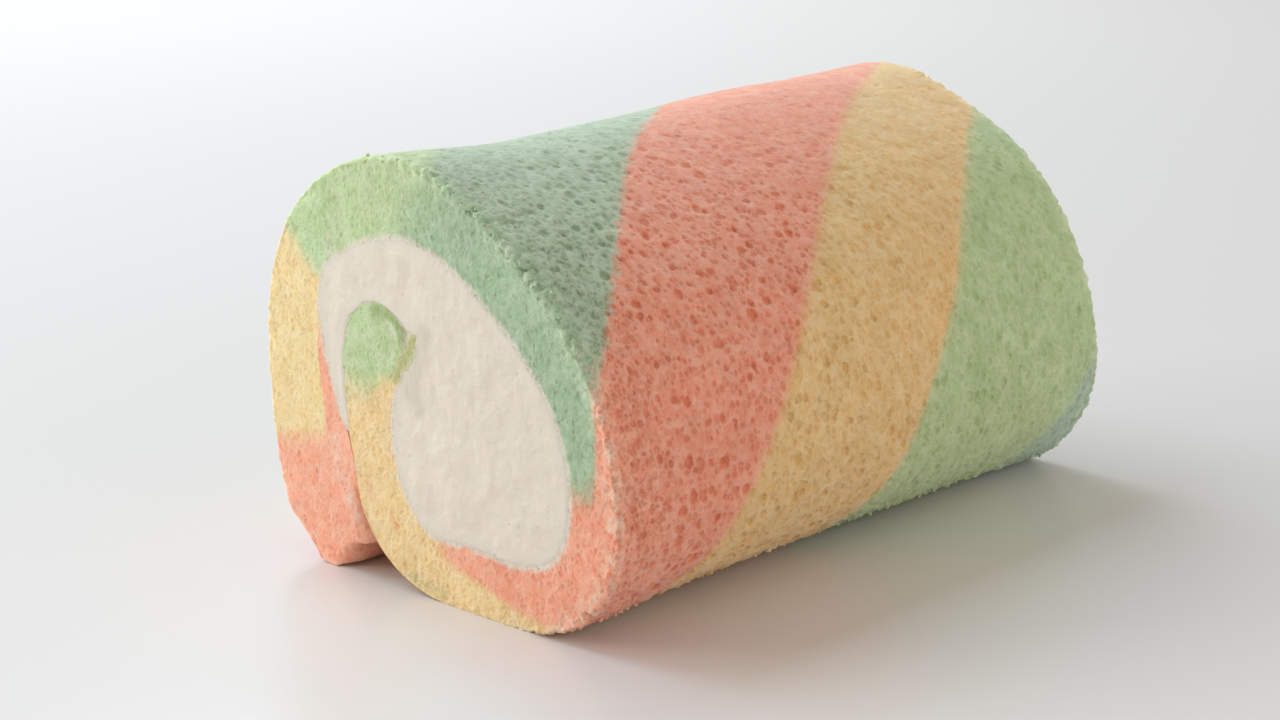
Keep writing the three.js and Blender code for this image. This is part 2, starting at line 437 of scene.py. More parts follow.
# ---- node helpers ----
class Tree:
    """Adds nodes to a shader or geometry tree. An argument is a socket or a plain value."""

    def __init__(self, tree):
        self.tree = tree

    def put(self, socket, value):
        if isinstance(value, bpy.types.NodeSocket):
            self.tree.links.new(value, socket)
        elif value is not None:
            socket.default_value = value

    def node(self, kind, inputs=None, **settings):
        made = self.tree.nodes.new(kind)
        for name, value in settings.items():
            setattr(made, name, value)
        for key, value in (inputs or {}).items():
            self.put(made.inputs[key], value)
        return made

    def math(self, operation, a, b=None):
        return self.node("ShaderNodeMath", {0: a, 1: b}, operation=operation).outputs[0]

    def add(self, a, b):
        return self.math("ADD", a, b)

    def times(self, a, b):
        return self.math("MULTIPLY", a, b)

    def sum_of(self, values, weights):
        """The values' sum, each times its weight."""
        parts = [self.times(value, weight) for value, weight in zip(values, weights)]
        total = parts[0]
        for part in parts[1:]:
            total = self.add(total, part)
        return total

    def vector(self, operation, a, b):
        """Of a and b, or a scaled by the number b."""
        second = "Scale" if operation == "SCALE" else 1
        made = self.node("ShaderNodeVectorMath", {0: a, second: b}, operation=operation)
        return made.outputs["Vector"]

    def ramp(self, value, low, high, start=0.0, end=1.0, smooth=True):
        """start up to low, then rising or falling to end, from high on."""
        kind = "SMOOTHSTEP" if smooth else "LINEAR"
        inputs = dict(enumerate((value, low, high, start, end)))
        return self.node("ShaderNodeMapRange", inputs, interpolation_type=kind).outputs[0]

    def noise(self, place, size, detail=2.0, roughness=0.5):
        inputs = {"Vector": place, "Scale": 1 / size, "Detail": detail, "Roughness": roughness}
        return self.node("ShaderNodeTexNoise", inputs).outputs[0]

    def uneven(self, place, size, reach, detail=2.0, roughness=0.5, middle=0.5):
        """Noise about 0, within half of reach."""
        return self.times(self.add(self.noise(place, size, detail, roughness), -middle), reach)

    def cells(self, place, size, feature="F1"):
        return self.node("ShaderNodeTexVoronoi", {"Vector": place, "Scale": 1 / size}, feature=feature)

    def mix(self, share, a, b):
        """Mixes two colours, each a socket or three plain numbers."""
        made = self.node("ShaderNodeMix", {"Factor": share}, data_type="RGBA")
        colours = [s for s in made.inputs if s.type == "RGBA"]
        for socket, value in zip(colours, (a, b)):
            self.put(socket, (*value, 1) if isinstance(value, tuple) else value)
        return [s for s in made.outputs if s.type == "RGBA"][0]


def warped(t, place, size, reach):
    """place pushed about by a noise of this size, up to reach."""
    noise = t.node("ShaderNodeTexNoise", {"Vector": place, "Scale": 1 / size, "Detail": 1.0})
    away = t.vector("SUBTRACT", noise.outputs["Color"], (0.5, 0.5, 0.5))
    return t.vector("ADD", place, t.vector("SCALE", away, 2 * reach))


def dice(t, colour):
    """Two random numbers from 0 to 1 out of a cell's colour."""
    shader = t.tree.type == "SHADER"
    parts = t.node("ShaderNodeSeparateColor" if shader else "FunctionNodeSeparateColor")
    t.put(parts.inputs[0], colour)
    return parts.outputs[0], parts.outputs[1]


# ---- the crumb's pores ----
# Bubbles of three sizes: cell in millimetres, least and most radius in cells, and the share
# of cells that has one.
BIG_BUBBLES = (2.7, 0.24, 0.50, 0.80)
MID_BUBBLES = (1.45, 0.36, 0.68, 0.95)
SMALL_BUBBLES = (0.75, 0.40, 0.80, 0.90)
BUBBLE_DEPTHS = (0.40, 0.22, 0.10)
BUBBLE_PORE_SHADE = (1.0, 0.7, 0.2)  # how much of the painted shade down in the pores each takes
BIG_ON_CUT, MID_ON_CUT = 0.25, 0.6  # how much is left of them on a cut
BIG_IN_FINE, SMALL_IN_FINE = 0.6, 2.2  # and where the crumb is fine
BUBBLE_FLOOR, BUBBLE_LIP = 0.62, 1.05  # where the floor ends and the lip is, in radii
WALL_FROM, WALL_TO = 0.01, 0.17  # the slope of the wall between two cells, in cells
OPENING = 0.4  # bubbles with luck this little above the least are shallower
CRACK_SIZE, SPLIT_DEPTH = 4.5, 0.5


def foam(t, place, cell, least, most, share):
    """Bubbles of a foam cut open: 1 on the floor of a deep one, 0 on the walls between
    them. Their radii lie between least and most, in cells, and a share of them is open."""
    made = t.cells(place, cell)
    luck, wide = dice(t, made.outputs["Color"])
    radius = t.ramp(wide, 0, 1, least, most, smooth=False)
    floor, lip = t.times(radius, BUBBLE_FLOOR), t.times(radius, BUBBLE_LIP)
    bowl = t.ramp(made.outputs["Distance"], floor, lip, 1.0, 0.0)
    wall = t.cells(place, cell, "DISTANCE_TO_EDGE").outputs["Distance"]
    bowl = t.math("MINIMUM", bowl, t.ramp(wall, WALL_FROM, WALL_TO))
    return t.times(bowl, t.ramp(luck, 1 - share, 1 + OPENING - share, smooth=False))


def crumb(t, place, skin, fine):
    """Pores of the crumb: the depth in millimetres, and the painted shade down in a pore, by how deep
    it lies, from 0 to 1.
    Where fine is 1 the large ones give way to small ones."""
    bent = warped(t, place, size=1.3, reach=0.25)
    big = t.times(foam(t, bent, *BIG_BUBBLES), t.ramp(skin, 0, 1, BIG_ON_CUT, 1.0))
    big = t.times(big, t.ramp(fine, 0, 1, 1.0, BIG_IN_FINE))
    middle = t.times(foam(t, bent, *MID_BUBBLES), t.ramp(skin, 0, 1, MID_ON_CUT, 1.0))
    small = t.times(foam(t, place, *SMALL_BUBBLES), t.ramp(fine, 0, 1, 1.0, SMALL_IN_FINE))
    deep = t.sum_of((big, middle, small), BUBBLE_DEPTHS)
    inside = t.sum_of((big, middle, small), BUBBLE_PORE_SHADE)
    return deep, t.math("MINIMUM", inside, 1.0)


def cracks(t, place, width):
    """Thin winding lines: 1 along them."""
    away = t.math("ABSOLUTE", t.add(t.noise(place, CRACK_SIZE), -0.5))
    some = t.ramp(t.noise(place, 2.2 * CRACK_SIZE), 0.48, 0.62)
    return t.times(t.ramp(away, 0.0, width, 1.0, 0.0), some)


def attribute(t, name, kind="FLOAT"):
    made = t.node("GeometryNodeInputNamedAttribute", {"Name": name}, data_type=kind)
    return made.outputs["Attribute"]


def shape_by(piece, relief):
    """Moves the piece's points along their normals by relief(t, place), in millimetres."""
    tree = bpy.data.node_groups.new(relief.__name__, "GeometryNodeTree")
    for way in ("INPUT", "OUTPUT"):
        tree.interface.new_socket("Geometry", in_out=way, socket_type="NodeSocketGeometry")
    t = Tree(tree)
    height = t.times(relief(t, attribute(t, "place", "FLOAT_VECTOR")), MM)
    offset = t.vector("SCALE", t.node("GeometryNodeInputNormal").outputs[0], height)
    held = {"Geometry": t.node("NodeGroupInput").outputs[0], "Offset": offset}
    moved = t.node("GeometryNodeSetPosition", held)
    t.put(t.node("NodeGroupOutput").inputs[0], moved.outputs[0])
    piece.modifiers.new(relief.__name__, "NODES").node_group = tree


def carve(t, place):
    """Height of the crumb's pores, its frayed edges and the marks on its cut."""
    skin, fine, rough, ridge, loose, swell = (
        attribute(t, name) for name in ("skin", "fine", "rough", "ridge", "frayed", "swell")
    )
    deep, _inside = crumb(t, place, skin, fine)
    ragged = t.uneven(place, size=1.5, reach=2.0, detail=3.0, roughness=0.6, middle=0.47)
    frayed = t.times(ragged, loose)
    split = t.times(t.times(cracks(t, place, width=0.03), ridge), -SPLIT_DEPTH)
    lumps, grain = t.uneven(place, size=5.0, reach=0.5), t.uneven(place, size=0.9, reach=0.25)
    height = t.times(t.add(t.add(lumps, grain), t.times(deep, -1.0)), rough)
    return t.add(t.add(height, frayed), t.add(split, swell))


# ---- materials ----
# each stripe's albedo on the walls between the pores, the painted shade down in the pores, and its
# albedo on a cut
PALETTE = {
    "pink": [(0.885, 0.364, 0.240), (0.790, 0.225, 0.115), (0.950, 0.415, 0.272)],
    "yellow": [(0.822, 0.557, 0.252), (0.790, 0.480, 0.180), (0.905, 0.672, 0.345)],
    "green": [(0.495, 0.608, 0.316), (0.400, 0.510, 0.215), (0.560, 0.700, 0.392)],
    "mint": [(0.447, 0.549, 0.385), (0.280, 0.384, 0.234), (0.404, 0.552, 0.364)],
}
WALLS, PORE_SHADE, CUT = range(3)
CREAM = (0.820, 0.742, 0.641)
PALE_CRUST = (0.86, 0.74, 0.58)  # frayed crumb along a cut edge
RIM_SKIN_AND_SHADE = (0.340, 0.430, 0.170)  # skin of the sheet that shows round the curl, darkened with painted shade on its side turned from the lamps
FOLD_PALE = (0.640, 0.690, 0.480)
FLAP_OLIVE = (0.520, 0.480, 0.200)
BROWN_IN_PORE_SHADE = (0.420, 0.260, 0.140)  # brown painted shade in the pores of the skin beside the near cut
DEEP_RED = (0.800, 0.150, 0.070)
DEEP_GREEN = (0.300, 0.400, 0.160)
WHITE = (1, 1, 1)

# The cut's first stripes, on the left wall, carry painted light that makes them lighter, and the
# skin's last ones are cooler: what multiplies their colours, and the counts of bands where that ends
# or starts.
PAINTED_WALL_LIGHT, PAINTED_WALL_LIGHT_ENDS = (1.04, 1.11, 1.13), (1.7, 2.5)
FAR_MINT, FAR_MINT_STARTS = (1.0, 1.06, 1.16), (6.7, 7.3)

# Marks: attribute, colour, and how much of it shows, for some between specks and in them.
TINTS = [("rim", RIM_SKIN_AND_SHADE, 0.9), ("fold", FOLD_PALE, 0.8), ("flap", FLAP_OLIVE, 0.9)]
SPECKLED = [("red", DEEP_RED, 0.25, 0.75), ("green", DEEP_GREEN, 0.2, 0.5)]

SOFTER_ON_CUT = 2.5  # how much softer the stripes' edges are on a cut
PORE_SHADE_ON_CUT = 0.6  # how much of the painted pore shade is left there
BROWN_SHARE = 0.12
PALER, CRUST_IN_PALE = 1.25, 0.18  # frayed crumb: half of it this much lighter, then crust
PALE_SHARE, TORN_SHARE, SMEAR_SHARE, CRACK_PORE_SHADE = 0.8, 0.45, 0.95, 0.9
CLEAN_MARKS = 0.6  # the cream's smear is this much weaker on rim and flap
MOTTLE = (0.86, 1.16)  # gammas of the least and most deepened colour
GRAIN_LIGHT, CLOUD_LIGHT = (0.945, 1.055), (-0.04, 0.04)
GRAIN_BUMP = 0.20  # millimetres

CREAM_LIGHT = (0.965, 1.02)  # dullest and brightest
CREAM_BUBBLES = (3.2, 0.10, 0.22, 0.5)
FLECK, FLECK_SHARE = (0.72, 0.63, 0.42), 0.5
# painted shade on the cream beside the curl's flap: its colour and how much of it shows
CREAM_SHADE, SHADE_SHARE = (0.62, 0.56, 0.46), 0.45
CREAM_BUMP, FLECK_DEPTH = 0.25, 0.2

SPONGE_SURFACE = {
    "Roughness": 0.85,
    "Specular IOR Level": 0.25,
    "Sheen Weight": 0.25,
    "Sheen Roughness": 0.6,
    "Subsurface Weight": 0.2,
    "Subsurface Radius": (1.0, 0.55, 0.4),
    "Subsurface Scale": 0.0012,
}
CREAM_SURFACE = {
    "Roughness": 0.55,
    "Specular IOR Level": 0.3,
    "Subsurface Weight": 0.4,
    "Subsurface Radius": (1.0, 0.8, 0.6),
    "Subsurface Scale": 0.003,
}
SPONGE_FIELDS = ["band", "skin", "fine", "open_pores", "ridge", "moist", "crust"]


def new_material(name, **surface):
    """A material, its tree and its shader, with surface's numbers on the shader's sockets."""
    material = bpy.data.materials.new(name)
    material.use_nodes = True
    material.node_tree.nodes.clear()
    t = Tree(material.node_tree)
    shader = t.node("ShaderNodeBsdfPrincipled", surface)
    out = t.node("ShaderNodeOutputMaterial")
    material.node_tree.links.new(shader.outputs[0], out.inputs["Surface"])
    return material, t, shader


def field_in(t, name):
    """A mesh attribute's vector and number."""
    made = t.node("ShaderNodeAttribute", attribute_name=name)
    return made.outputs["Vector"], made.outputs["Fac"]


def give_bump(t, shader, strength, height):
    """Bumps by a height in millimetres."""
    bump = t.node("ShaderNodeBump", {"Strength": strength, "Distance": MM, "Height": height})
    t.put(shader.inputs["Normal"], bump.outputs["Normal"])


def stripe_ramp(t, band, look, softer=1.0):
    """The stripes' colours, in order, over the count of bands."""
    whole = len(EDGES) + 1
    colours = [(*PALETTE[STRIPES[i % len(STRIPES)]][look], 1) for i in range(whole)]
    made = t.node("ShaderNodeValToRGB", {"Fac": t.times(band, 1 / whole)})
    stops = made.color_ramp.elements
    for stop, place, colour in ((stops[0], 0, colours[0]), (stops[1], 1, colours[-1])):
        stop.position, stop.color = place, colour
    for i, (_knots, _slant, soft) in enumerate(EDGES):
        for side, colour in ((-1, colours[i]), (1, colours[i + 1])):
            stop = stops.new((i + 1 + side * softer * soft / STRIPE_WIDTH) / whole)
            stop.color = colour
    return made.outputs["Color"]


def wall_colour(t, place, held, band):
    """The crumb between its pores: stripes, marks, frayed edges and smears of cream, with painted
    light on the left wall and painted shade on the curl's rim.
    """
    wall, cut = stripe_ramp(t, band, WALLS), stripe_ramp(t, band, CUT, softer=SOFTER_ON_CUT)
    # painted light on the cut's first stripes, the left wall
    painted_lit = t.mix(t.ramp(band, *PAINTED_WALL_LIGHT_ENDS), PAINTED_WALL_LIGHT, WHITE)
    cool = t.mix(t.ramp(band, *FAR_MINT_STARTS), WHITE, FAR_MINT)
    wall = t.mix(held["skin"], t.vector("MULTIPLY", cut, painted_lit), t.vector("MULTIPLY", wall, cool))
    for name, colour, share in TINTS:
        wall = t.mix(t.times(held[name], share), wall, colour)
    speck = t.ramp(t.noise(place, size=0.8), 0.45, 0.6)
    for name, colour, least, most in SPECKLED:
        wall = t.mix(t.times(held[name], t.ramp(speck, 0, 1, least, most)), wall, colour)
    pale = t.times(held["ridge"], t.ramp(t.noise(place, size=2.4, detail=3.0), 0.38, 0.58))
    paler = t.mix(0.5, wall, t.vector("SCALE", wall, PALER))
    wall = t.mix(t.times(pale, PALE_SHARE), wall, t.mix(CRUST_IN_PALE, paler, PALE_CRUST))
    torn = t.ramp(t.noise(place, size=2.0, detail=3.0, roughness=0.6), 0.46, 0.58)
    wall = t.mix(t.times(t.times(held["crust"], torn), TORN_SHARE), wall, PALE_CRUST)
    uneven = t.ramp(t.noise(place, size=1.8), 0.3, 0.7, 0.7, 1.3, smooth=False)
    smear = t.ramp(t.times(held["moist"], uneven), 0.12, 1.0)
    clean = t.times(t.math("MAXIMUM", held["rim"], held["flap"]), -CLEAN_MARKS)
    smear = t.math("MAXIMUM", t.times(smear, t.add(1.0, clean)), held["gap"])
    return t.mix(t.times(smear, SMEAR_SHARE), wall, CREAM)


def sponge_material():
    material, t, shader = new_material("pastel sponge", **SPONGE_SURFACE)
    place = field_in(t, "place")[0]
    held = {name: field_in(t, name)[1] for name in (*SPONGE_FIELDS, *MARKS)}
    band = t.add(held["band"], t.uneven(place, size=1.3, reach=0.09, detail=3.0))
    # inside is the painted shade down in the pores
    deep, inside = crumb(t, place, held["skin"], held["fine"])
    inside = t.times(inside, held["open_pores"])
    inside = t.times(inside, t.ramp(held["skin"], 0, 1, PORE_SHADE_ON_CUT, 1.0))
    # the frayed edge's cracks take the painted pore shade: painted shade in the cracks
    split = t.times(t.times(cracks(t, place, width=0.02), held["ridge"]), CRACK_PORE_SHADE)
    # the pores' colour is painted shade, tinted brown where the crumb is fine
    pore = t.mix(t.times(held["fine"], BROWN_SHARE), stripe_ramp(t, band, PORE_SHADE), BROWN_IN_PORE_SHADE)
    colour = t.mix(t.math("MAXIMUM", inside, split), wall_colour(t, place, held, band), pore)
    grain = t.noise(place, size=0.55, detail=3.0, roughness=0.6)
    mottle = t.noise(place, size=2.6, detail=3.0, roughness=0.6)
    gamma = t.ramp(mottle, 0.3, 0.7, *MOTTLE)
    deepened = t.node("ShaderNodeGamma", {"Color": colour, "Gamma": gamma}).outputs["Color"]
    cloud = t.ramp(t.noise(place, size=9.0, detail=3.0), 0.3, 0.7, *CLOUD_LIGHT)
    light = t.add(t.ramp(grain, 0.25, 0.75, *GRAIN_LIGHT), cloud)
    t.put(shader.inputs["Base Color"], t.vector("SCALE", deepened, light))
    sunk = t.times(t.times(deep, held["open_pores"]), -1.0)
    give_bump(t, shader, 0.6, t.add(sunk, t.times(grain, GRAIN_BUMP)))
    return material


def cream_material():
    material, t, shader = new_material("whipped cream", **CREAM_SURFACE)
    place = field_in(t, "place")[0]
    shade = field_in(t, "shade")[1]
    dull, bright = (tuple(c * light for c in CREAM) for light in CREAM_LIGHT)
    colour = t.mix(t.ramp(t.noise(place, size=7.0, detail=3.0), 0.3, 0.7), dull, bright)
    fleck = foam(t, place, *CREAM_BUBBLES)
    colour = t.mix(t.times(fleck, FLECK_SHARE), colour, FLECK)
    # painted shade on the cream beside the curl's flap
    colour = t.mix(t.times(shade, SHADE_SHARE), colour, CREAM_SHADE)
    t.put(shader.inputs["Base Color"], colour)
    fine = t.times(t.noise(place, size=0.9, detail=3.0, roughness=0.6), CREAM_BUMP)
    give_bump(t, shader, 0.5, t.add(fine, t.times(fleck, -FLECK_DEPTH)))
    return material


# ---- marks on the cut ----
# Strokes: knots [x, z] in the frame, and half the width at the first and the last. The gap is cream
# between the curl's knob and its flap. The rim is the sheet's skin round the curl, with painted shade
# on it.
MARKS = {
    "rim": [([(-14.6, 52.2), (-11.6, 52.0), (-9.0, 50.9), (-7.3, 49.0), (-6.9, 47.4)], 1.2, 1.5)],
    "fold": [([(-11.1, 49.7), (-9.9, 47.9), (-10.4, 45.4), (-11.4, 43.0)], 0.9, 0.7)],
    "flap": [([(-3.8, 49.6), (-4.6, 46.0), (-7.0, 43.0), (-8.9, 40.2)], 2.2, 1.8)],
    "gap": [([(-5.2, 49.9), (-6.1, 48.3), (-6.9, 46.2)], 1.1, 0.5)],
    "red": [
        ([(-31.2, 12.6), (-30.5, 11.6)], 0.7, 0.6),
        ([(-23.0, 5.6), (-18.7, 5.2), (-15.1, 5.1)], 0.7, 0.5),
        ([(-19.0, 19.4), (-17.9, 15.4)], 0.5, 0.3),
        ([(-12.5, 13.8), (-10.5, 10.4)], 0.4, 0.3),
        ([(43.4, 22.3), (45.2, 21.3), (46.6, 20.2)], 0.45, 0.35),
        ([(39.4, 15.6), (41.0, 14.5), (42.4, 14.2)], 0.5, 0.4),
        ([(46.0, 30.8), (46.8, 29.6)], 0.5, 0.4),
        ([(35.6, 17.2), (36.4, 16.3)], 0.4, 0.4),
    ],
    "green": [
        ([(-14.9, 50.9), (-14.6, 49.6)], 0.5, 0.4),
        ([(-10.9, 46.2), (-11.4, 44.4)], 0.5, 0.5),
        ([(-9.7, 46.6), (-9.9, 45.9)], 0.4, 0.4),
        ([(-7.6, 3.2), (-4.0, 2.2), (1.0, 1.6)], 1.3, 1.0),
    ],
}
SMEARS = [
    ([(-28.2, 24.0), (-25.6, 17.4), (-23.2, 12.2), (-20.4, 8.6)], 3.2, 1.8),
    ([(-26.4, 63.8), (-27.1, 56.3)], 1.6, 1.6),
]
# where the painted shade lies on the cream beside the curl's flap
SHADE = [([(-1.4, 49.3), (-2.0, 45.6), (-4.6, 41.6), (-5.4, 38.0), (-3.4, 35.0)], 2.4, 1.8)]
MARK_FADES = (0.2, 1.5)  # in half widths, from whole to nothing
MARK_REACH = 2.0  # they fade this far along the roll


def near_stroke(points, knots, first, last):
    """How near points lie to a stroke on either cut: 1 on it, 0 outside of its width."""
    x, z = points[:, 0], points[:, 2]
    closest = np.zeros(len(points))
    knots = np.array(knots)
    legs = len(knots) - 1
    for i in range(legs):
        a, way = knots[i], knots[i + 1] - knots[i]
        k = np.clip(((x - a[0]) * way[0] + (z - a[1]) * way[1]) / (way @ way), 0, 1)
        away = np.hypot(x - a[0] - k * way[0], z - a[1] - k * way[1])
        half = first + (last - first) * (i + k) / legs
        closest = np.maximum(closest, 1 - ease(away / half, *MARK_FADES))
    edge = np.minimum(points[:, 1] - LOW[1], HIGH[1] - points[:, 1])
    return closest * (1 - ease(edge, 0, MARK_REACH))


def near_strokes(points, strokes):
    return np.max([near_stroke(points, *stroke) for stroke in strokes], axis=0)


# ---- pieces ----
# Stretches of the sheet: the distances along it where each starts, is whole, fades and ends.
TOP = (60, 90, 115, 150)  # the crown, where the pores are shallow
RIGHT = (90, 120)
FINE_FROM, FINE_TO = (100, 118), (215, 245)  # beside the near cut the crumb is fine
CRUST_FROM, CRUST_TO = (158, 168), (226, 244)  # and its edge has a torn crust
BARE = ([0, 4, 12, 245, 262], [0, 0, 1, 1, 0])  # skin with pores: distances, and how much
CREAM_FROM = (26, 38)  # the foot isn't spread with cream
FRAYED_FROM = (90, 115)  # before this the edge is frayed less
FOOT_END = (0, 4)  # smooth

# Distances along the roll, from the near cut.
FINE_DEPTH = (5, 17)
SOFT_DEPTH = (45, 120)
CRUST_DEPTH = 10

# how much shallower pores are far along the right side and on the crown, and the least
SOFT_RIGHT, SOFT_TOP, LEAST_PORES = 0.5, 0.55, 0.25
# a cut's roughness next to the cream, how much more it is away from it, and the way between
CUT_BY_CREAM, CUT_MORE, CUT_RISE = 0.15, 0.6, (0.3, 1.8)

RIDGE_INNER, RIDGE_WIDTH = 0.2, 2.4  # the frayed edge of a cut: wholly, and at all
LESS_FRAYED = 0.65
CRUST_INNER, CRUST_WIDTHS = 0.8, (4.5, 1.6)  # wholly, and at all on the cut and on the skin
SMEAR_INNER, SMEAR_WIDTH = 0.2, 1.9  # crumb that has taken up cream
SMEAR_WEIGHT = 0.45  # of the broad smears, against that
FRINGE_PLACE = 19.0 / LAST_ROW  # the skin is frayed where it turns in to the plate
FRINGE_HEIGHT, FRINGE_WIDTH = 1.5, 5

# How far from the edge the skin's look starts and is whole, each with how much further where
# the edge is worn; half the width of that, and how much further in the fraying lies.
SKIN_STARTS, SKIN_WHOLE = (0.2, 1.8), (3.0, 2.0)
WORN_STRETCH, WORN_RIDGE = 16, 1.4

SWELLS = {"rim": 0.2, "flap": 0.05, "fold": -0.25, "gap": -0.5}  # heights of the marks


def surface_fields(rings, along, y, depth):
    """What the sponge's surface is like at each point, by the name of the attribute."""
    near_face = rings[:, y[0] == 0][..., ::2]
    thick = np.linalg.norm(near_face - rings[:, :1, ::2], axis=-1).max(1)[:, None]
    edge = np.minimum(y, ROLL_LENGTH - y)
    on_skin = (depth == 0).astype(float)
    on_cut = (edge == 0) & (depth > 0)
    worn = bell(along, run_to(WORN_PLACE), WORN_STRETCH)
    starts, whole = (least + more * worn for least, more in (SKIN_STARTS, SKIN_WHOLE))
    bare = np.interp(along, *BARE)
    fine = on_skin * (1 - ease(y, *FINE_DEPTH)) * ease(along, *FINE_FROM)
    soft = 1 - SOFT_RIGHT * ease(y, *SOFT_DEPTH) * ease(along, *RIGHT)
    soft = np.maximum(LEAST_PORES, soft - SOFT_TOP * between(along, *TOP))
    to_cream = thick * (1 - depth)
    cut_rough = (CUT_BY_CREAM + CUT_MORE * ease(to_cream, *CUT_RISE)) * ease(along, *FOOT_END)
    on_rim = np.where(on_skin > 0, edge - WORN_RIDGE * worn, RIDGE_WIDTH)
    from_edge = np.where(on_cut, thick * depth, on_rim)
    ridge = (1 - ease(from_edge, RIDGE_INNER, RIDGE_WIDTH)) * bare
    ridge = ridge * (LESS_FRAYED + (1 - LESS_FRAYED) * ease(along, *FRAYED_FROM))
    fringe = FRINGE_HEIGHT * on_skin * bell(along, run_to(FRINGE_PLACE), FRINGE_WIDTH)
    crust = 1 - ease(from_edge, CRUST_INNER, np.where(on_cut, *CRUST_WIDTHS))
    crust = crust * ease(along, *CRUST_FROM) * (1 - ease(along, *CRUST_TO))
    moist = (1 - ease(to_cream, SMEAR_INNER, SMEAR_WIDTH)) * ease(along, *CREAM_FROM)
    return {
        "band": bands(along, y, depth),
        "skin": on_skin * ease(edge, starts, whole),
        "fine": fine * (1 - ease(along, *FINE_TO)),
        "rough": np.where(on_cut, cut_rough, on_skin * bare * soft),
        "open_pores": np.where(on_skin > 0, soft, 1),
        "ridge": ridge,
        "frayed": np.maximum(ridge, fringe),
        "moist": np.where(on_cut, moist, 0),
        "crust": crust * (y < CRUST_DEPTH),
    }


def make_sponge(material):
    rings, along, y, depth = wound_grid()
    columns, ring = rings.shape[:2]
    points = rings.reshape(-1, 3)
    fields = surface_fields(rings, along, y, depth)
    fields = {name: values.ravel() for name, values in fields.items()}
    smears = SMEAR_WEIGHT * near_strokes(points, SMEARS)
    fields["moist"] = np.maximum(fields["moist"], smears)
    for name, strokes in MARKS.items():
        fields[name] = near_strokes(points, strokes)
    fields["swell"] = sum(height * fields[name] for name, height in SWELLS.items())
    piece = new_piece("sponge_cake", points, tube_faces(columns, ring), place=points, **fields)
    shape_by(piece, carve)
    thin = piece.modifiers.new("thin", "DECIMATE")
    thin.ratio = SPONGE_FACES / (2 * columns * ring)
    take_shape(piece)
    rest_on_plate(piece)
    piece.data.materials.append(material)
    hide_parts("sponge")
    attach(piece, "root")
    return piece


CREAM_OVERLAP = 0.5  # the cream reaches this far into the sponge's surface
CREAM_STEP, CREAM_COLUMN = 0.6, 0.8  # between the points of a cut and those round it
CREAM_HEAD = 20  # points over the curl's head
CREAM_BULGE = 0.04  # the cream stands this far out of a cut
CREAM_TUCK = 0.08  # and its rim goes this far back into it
TUCK_WIDTH = 0.45  # the rim's width
CREAM_FREE = (0.5, 3.5)  # it ripples from this far off the sponge, and wholly from this
CREAM_SEED = 5  # for the points of the near cut
ROW_RISE = 0.87  # between the rows of a triangular grid, in steps
GRID_SHAKE, GRID_CLEAR = 0.2, 0.7  # how far its points are moved, and are off the outline


def cream_outline(y):
    """The filling's outline at each y: rows of (x, z)."""
    count = int(RUNS[-1] / CREAM_COLUMN)
    v = np.interp(np.linspace(0, RUNS[-1], count), RUNS, SHARES)
    hollow = side_line(v, -1, -CREAM_OVERLAP, y)[v >= WEDGE_START]
    tongue = side_line(v, 1, -CREAM_OVERLAP, y)[v >= TONGUE_CLEAR]
    head = head_side(np.linspace(0, math.pi, CREAM_HEAD + 2)[1:-1], -CREAM_OVERLAP, y)
    return np.concatenate([tongue, head, hollow[::-1]])


def shaken_grid(low, high, step, seed):
    """Points of a slightly irregular triangular grid over a box."""
    across, up = np.meshgrid(
        np.arange(low[0], high[0], step), np.arange(low[1], high[1], step * ROW_RISE)
    )
    across[1::2] += step / 2
    draw = np.random.default_rng(seed)
    grid = np.stack([across.ravel(), up.ravel()], 1)
    return grid + draw.uniform(-GRID_SHAKE, GRID_SHAKE, grid.shape) * step


def fill_outline(outline, step, seed):
    """Points and triangles that fill an outline of (x, z), its own points first, and how
    far each lies from the outline."""
    grid = shaken_grid(outline.min(0), outline.max(0), step, seed)
    inside = np.zeros(len(grid), bool)
    gap = np.full(len(grid), np.inf)
    for a, b in zip(outline, np.roll(outline, -1, 0)):
        crosses = (a[1] > grid[:, 1]) != (b[1] > grid[:, 1])
        if a[1] != b[1]:
            x = a[0] + (grid[:, 1] - a[1]) * (b[0] - a[0]) / (b[1] - a[1])
            inside ^= crosses & (grid[:, 0] < x)
        gap = np.minimum(gap, np.linalg.norm(grid - a, axis=1))
    held = inside & (gap > step * GRID_CLEAR)
    points = np.concatenate([outline, grid[held]])
    border = [(i, (i + 1) % len(outline)) for i in range(len(outline))]
    made = delaunay_2d_cdt([tuple(p) for p in points], border, [], 1, TINY)
    gaps = np.concatenate([np.zeros(len(outline)), gap[held]])
    own = [source[0] if source else 0 for source in made[3]]
    return np.array([tuple(p) for p in made[0]]), made[2], gaps[own]


def ripple(t, place):
    """Soft unevenness of the spread cream, where it is free of the sponge."""
    broad, small = t.uneven(place, size=6.0, reach=0.9), t.uneven(place, size=1.4, reach=0.35)
    return t.times(t.add(broad, small), attribute(t, "free"))


